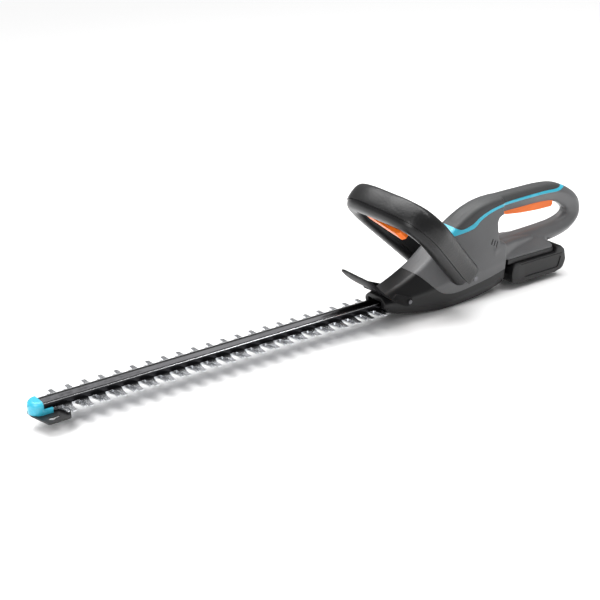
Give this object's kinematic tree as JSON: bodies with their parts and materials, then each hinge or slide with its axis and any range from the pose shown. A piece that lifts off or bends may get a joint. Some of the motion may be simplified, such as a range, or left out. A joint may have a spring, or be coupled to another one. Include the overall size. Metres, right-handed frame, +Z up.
{
  "type": "hedge trimmer",
  "caption": "Cordless hedge trimmer with a double-sided reciprocating blade, a D handle with trigger, a front loop handle with switch lever, and a slide-on battery.",
  "frame": {"origin": "middle of the tool on the surface that its belly rests on", "axes": "+X from blade tip to rear handle, +Z up, the blade lies in a level plane"},
  "size_m": [1.1, 0.206, 0.2263],
  "materials": {
    "housing_grey": "satin moulded grey",
    "shell_black": "satin moulded black",
    "grip_soft": "textured soft grip",
    "trim_turquoise": "turquoise moulding",
    "switch_orange": "orange moulding",
    "loop_black": "fine textured black",
    "guard_smoke": "smoked clear moulding",
    "screw_steel": "blackened screws",
    "blade_steel": "ground blade steel",
    "aluminium_bar": "anodised extrusion",
    "tip_turquoise": "turquoise moulding",
    "gear_steel": "machined",
    "frame_cast": "die cast",
    "motor_steel": "zinc plated",
    "copper_parts": "brass contacts",
    "board_green": "circuit board",
    "battery_black": "satin moulded black",
    "cell_wrap": "cell sleeve"
  },
  "bodies": {
    "tool": {"housing_left": "housing_grey", "housing_right": "housing_grey", "lower_shell": "shell_black", "grip_insert": "grip_soft", "trim_ring": "trim_turquoise", "casing_screws": "screw_steel", "front_handle_rear_shell": "loop_black", "front_handle_front_shell": "loop_black", "handle_screws": "screw_steel", "front_microswitch": "board_green", "hand_guard": "guard_smoke", "guard_screws": "screw_steel", "blade_cover": "aluminium_bar", "blade_support_bar": "blade_steel", "bar_screws": "screw_steel", "tip_protector": "tip_turquoise", "tip_screw": "screw_steel", "tip_plate": "shell_black", "gearbox_base": "frame_cast", "gearbox_plate": "frame_cast", "gearbox_pillars": "gear_steel", "bar_spacers": "frame_cast", "lower_bush": "copper_parts", "upper_bush": "copper_parts", "motor_can": "motor_steel", "motor_magnets": "gear_steel", "circuit_board": "board_green", "board_parts": "shell_black", "trigger_pin": "gear_steel", "rear_microswitch": "board_green", "trigger_spring": "gear_steel", "battery_rails": "shell_black", "terminal_block": "shell_black", "tool_terminals": "copper_parts"},
    "crank": {"crank_shaft": "gear_steel", "drive_gear": "gear_steel", "lower_cam": "gear_steel", "upper_cam": "gear_steel"},
    "rotor": {"motor_rotor": "copper_parts", "motor_shaft": "gear_steel", "motor_pinion": "gear_steel"},
    "upper_blade_body": {"upper_blade": "blade_steel"},
    "lower_blade_body": {"lower_blade": "blade_steel"},
    "trigger": {"rear_trigger": "switch_orange"},
    "front_switch": {"front_switch_lever": "switch_orange"},
    "battery": {"battery_case": "battery_black", "battery_cells": "cell_wrap", "battery_board": "board_green", "battery_contacts": "copper_parts"},
    "battery_button": {"release_button": "battery_black"}
  },
  "joints": [
    {"name": "crank_spin", "type": "hinge", "parent": "tool", "child": "crank", "pos_m": [0.16, 0, 0.03], "axis": [0, 0, 1], "continuous": true},
    {"name": "rotor_spin", "type": "hinge", "parent": "tool", "child": "rotor", "pos_m": [0.1952, 0, 0.06], "axis": [0, 0, 1], "continuous": true},
    {"name": "upper_blade_slide", "type": "slide", "parent": "tool", "child": "upper_blade_body", "axis": [1, 0, 0], "range_m": [-0.01015, 0.00335]},
    {"name": "lower_blade_slide", "type": "slide", "parent": "tool", "child": "lower_blade_body", "axis": [1, 0, 0], "range_m": [-0.0034, 0.0102]},
    {"name": "trigger_squeeze", "type": "hinge", "parent": "tool", "child": "trigger", "pos_m": [0.357, 0, 0.148], "axis": [0, -1, 0], "range_deg": [0, 4], "stiffness_Nm_per_rad": 3, "springref_deg": -6.88},
    {"name": "front_switch_squeeze", "type": "slide", "parent": "tool", "child": "front_switch", "axis": [-0.7133, 0, 0.7009], "range_m": [0, 0.0048], "stiffness_N_per_m": 900, "springref_m": -0.003},
    {"name": "battery_slide", "type": "slide", "parent": "tool", "child": "battery", "axis": [1, 0, 0], "range_m": [0, 0.125]},
    {"name": "battery_button_press", "type": "slide", "parent": "battery", "child": "battery_button", "axis": [-1, 0, 0], "range_m": [0, 0.003], "stiffness_N_per_m": 800, "springref_m": -0.002}
  ],
  "couplings": [
    {"joint": "rotor_spin", "follows": "crank_spin", "ratio": -6},
    {"joint": "lower_blade_slide", "follows": "upper_blade_slide", "ratio": -1}
  ]
}
